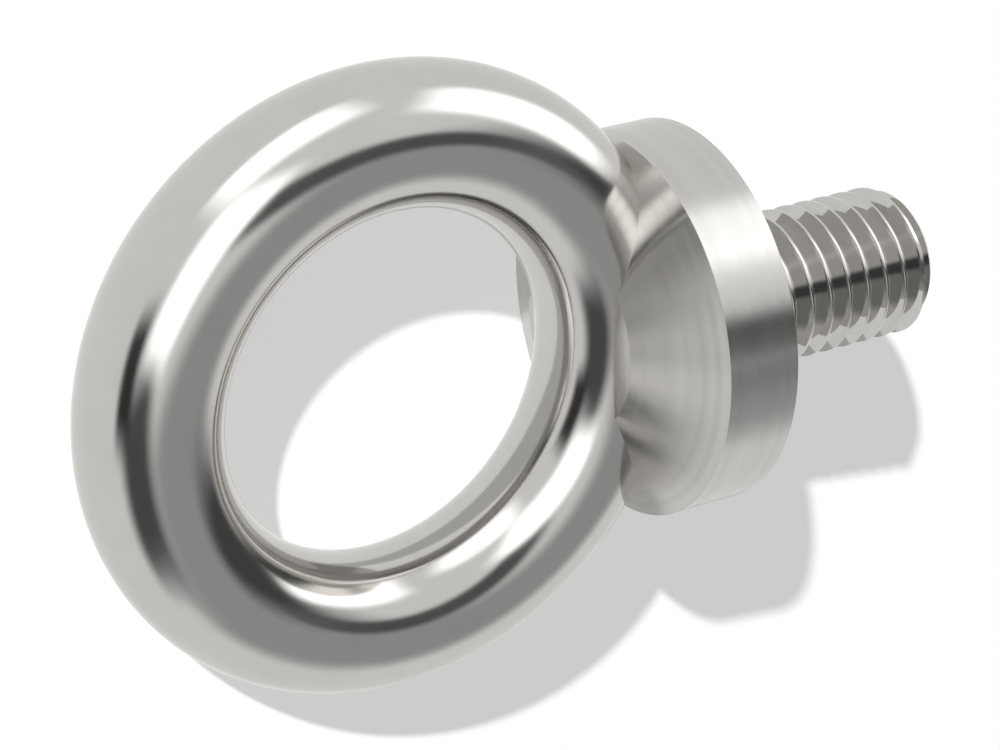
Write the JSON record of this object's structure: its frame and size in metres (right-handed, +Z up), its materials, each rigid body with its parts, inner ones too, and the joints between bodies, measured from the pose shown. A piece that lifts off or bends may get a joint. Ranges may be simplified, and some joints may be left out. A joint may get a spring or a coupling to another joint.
{
  "type": "lifting eye bolt",
  "caption": "Lifting eye bolt in bright steel: a round-section ring on a conical neck and round collar, with a coarse right-hand thread below, lying at rest.",
  "frame": {"origin": "on the floor, under the middle of the bounding box, with the bolt lying as it comes to rest", "axes": "+Z up from the floor; +X level, from the ring towards the threaded end, which is raised 13.4 degrees; Y across, and XZ is the plane that halves the ring, neck and collar"},
  "size_m": [0.059, 0.041, 0.0255],
  "materials": {
    "steel": "bright, finely polished steel"
  },
  "bodies": {
    "root": {"eye_bolt": "steel"}
  },
  "joints": []
}
